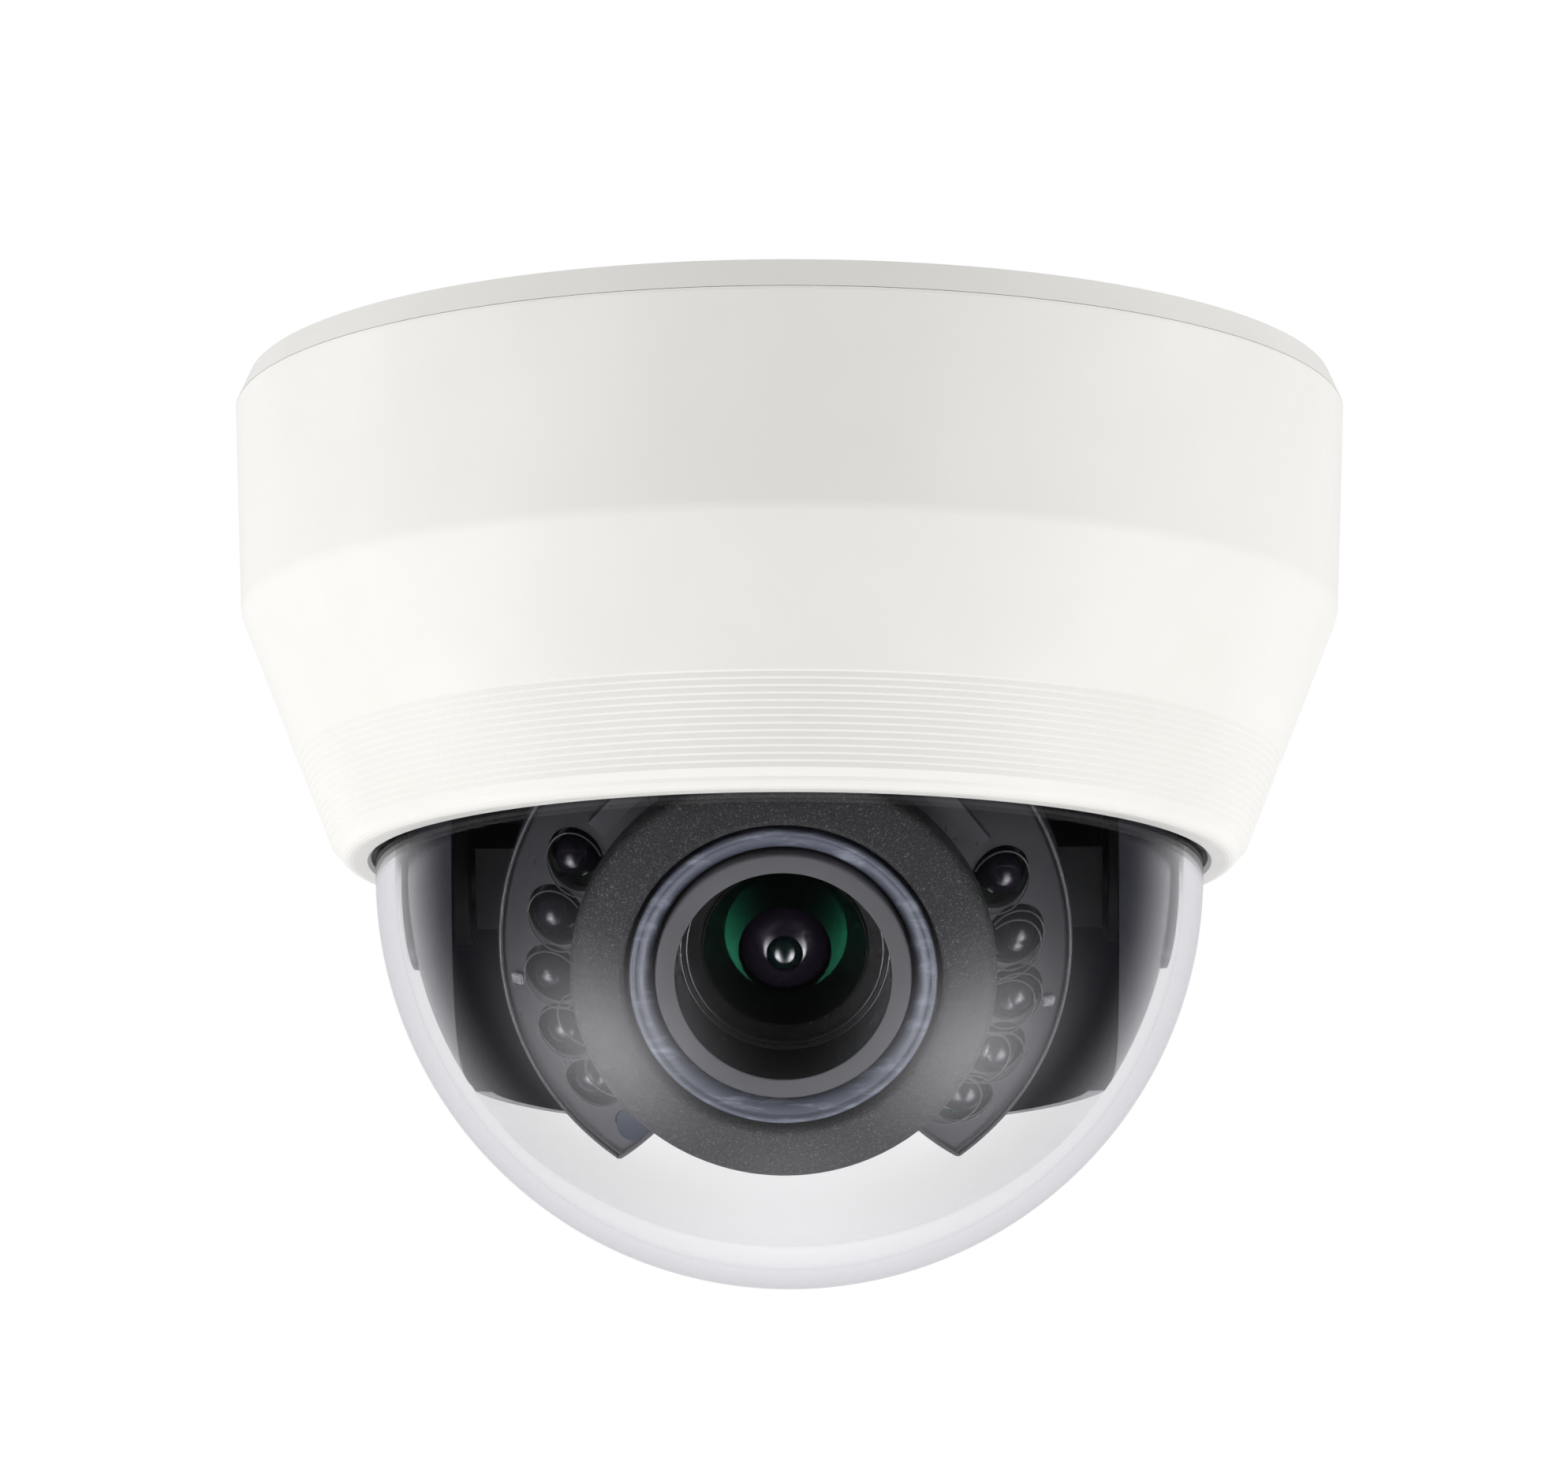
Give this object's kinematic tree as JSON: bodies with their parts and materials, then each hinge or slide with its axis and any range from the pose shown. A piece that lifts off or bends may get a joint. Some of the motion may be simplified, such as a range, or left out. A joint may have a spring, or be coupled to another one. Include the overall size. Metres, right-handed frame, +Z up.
{
  "type": "dome cctv camera",
  "caption": "Ceiling dome security camera: conical white housing, clear dome, and a panning, tilting and rolling lens with infrared LEDs.",
  "frame": {"origin": "centre of the ceiling face of the mounting base", "axes": "+Z up, out of the ceiling face; the lens looks towards -Y and down; +X to the right as seen from the front"},
  "size_m": [0.12, 0.12, 0.0978],
  "materials": {
    "white_housing": "fine satin moulding",
    "clear_dome": "clear, polished",
    "black_seal": "matte",
    "black_clamp": "satin",
    "liner_black": "satin",
    "gimbal_plastic": "fine texture",
    "steel": "plated",
    "led_cover_grey": "satin",
    "shield_foam": "closed-cell foam",
    "hood_rubber": "smooth, scuffed",
    "lens_black": "satin",
    "bezel_grey": "matte",
    "retaining_black": "satin",
    "coated_glass": "coated, polished",
    "filter_glass": "polished",
    "filter_white": "plain",
    "led_epoxy": "glossy",
    "sensor_window": "glossy",
    "board_green": "lacquered",
    "chip_black": "matte",
    "socket_metal": "plated",
    "terminal_green": "plain"
  },
  "bodies": {
    "base": {"mounting_base": "white_housing", "pan_hub": "white_housing", "main_board": "board_green", "processor": "chip_black", "network_socket": "socket_metal", "power_terminal": "terminal_green", "card_socket": "socket_metal", "board_screws": "steel", "pan_retainer": "steel", "retainer_screws": "steel"},
    "cover": {"housing": "white_housing", "dome": "clear_dome", "dome_gasket": "black_seal", "clamp_ring": "black_clamp", "clamp_screws": "steel"},
    "pan_stage": {"pan_table": "gimbal_plastic", "yoke": "gimbal_plastic", "yoke_screws": "steel", "liner": "liner_black"},
    "tilt_stage": {"tilt_cradle": "gimbal_plastic", "tilt_screws": "steel"},
    "lens_head": {"lens_holder": "gimbal_plastic", "roll_clip": "steel", "lens_barrel": "lens_black", "rear_lens": "coated_glass", "filter_frame": "gimbal_plastic", "sensor_board": "board_green", "image_sensor": "chip_black", "sensor_screws": "steel", "led_bracket": "gimbal_plastic", "bracket_screws": "steel", "led_board": "board_green", "leds": "led_epoxy", "light_sensor": "sensor_window", "led_cover": "led_cover_grey", "light_shield": "shield_foam", "hood_ring": "hood_rubber"},
    "zoom_control": {"zoom_ring": "lens_black", "zoom_lock": "steel"},
    "focus_control": {"focus_ring": "lens_black", "focus_lock": "steel"},
    "front_group": {"front_cell": "bezel_grey", "front_lens": "coated_glass", "retaining_ring": "retaining_black"},
    "zoom_group": {"zoom_cell": "lens_black", "zoom_lens": "coated_glass"},
    "filter_slide": {"filter_carrier": "filter_white", "ir_filter": "filter_glass"}
  },
  "joints": [
    {"name": "cover_removal", "type": "slide", "parent": "base", "child": "cover", "axis": [0, 0, -1], "range_m": [0, 0.11]},
    {"name": "pan", "type": "hinge", "parent": "base", "child": "pan_stage", "pos_m": [0, 0, 0], "axis": [0, 0, 1], "range_deg": [-175, 175]},
    {"name": "tilt", "type": "hinge", "parent": "pan_stage", "child": "tilt_stage", "pos_m": [0, 0, -0.0534], "axis": [0.9998, -0.0209, 0], "range_deg": [-4, 63]},
    {"name": "roll", "type": "hinge", "parent": "tilt_stage", "child": "lens_head", "pos_m": [0, 0, -0.0534], "axis": [-0.0187, -0.8908, -0.454], "range_deg": [-177, 177]},
    {"name": "zoom_turn", "type": "hinge", "parent": "lens_head", "child": "zoom_control", "pos_m": [0, 0, -0.0534], "axis": [-0.0187, -0.8908, -0.454], "range_deg": [-45, 45]},
    {"name": "focus_turn", "type": "hinge", "parent": "lens_head", "child": "focus_control", "pos_m": [0, 0, -0.0534], "axis": [-0.0187, -0.8908, -0.454], "range_deg": [-45, 45]},
    {"name": "zoom_travel", "type": "slide", "parent": "lens_head", "child": "zoom_group", "axis": [-0.0187, -0.8908, -0.454], "range_m": [-0.00196, 0.00196]},
    {"name": "focus_travel", "type": "slide", "parent": "lens_head", "child": "front_group", "axis": [-0.0187, -0.8908, -0.454], "range_m": [-0.00117, 0.00117]},
    {"name": "filter_shift", "type": "slide", "parent": "lens_head", "child": "filter_slide", "axis": [0.9991, 0.0005, -0.042], "range_m": [0, 0.01]}
  ],
  "couplings": [
    {"joint": "zoom_turn", "follows": "zoom_travel", "rad_per_m": -400},
    {"joint": "focus_turn", "follows": "focus_travel", "rad_per_m": 666.67}
  ]
}
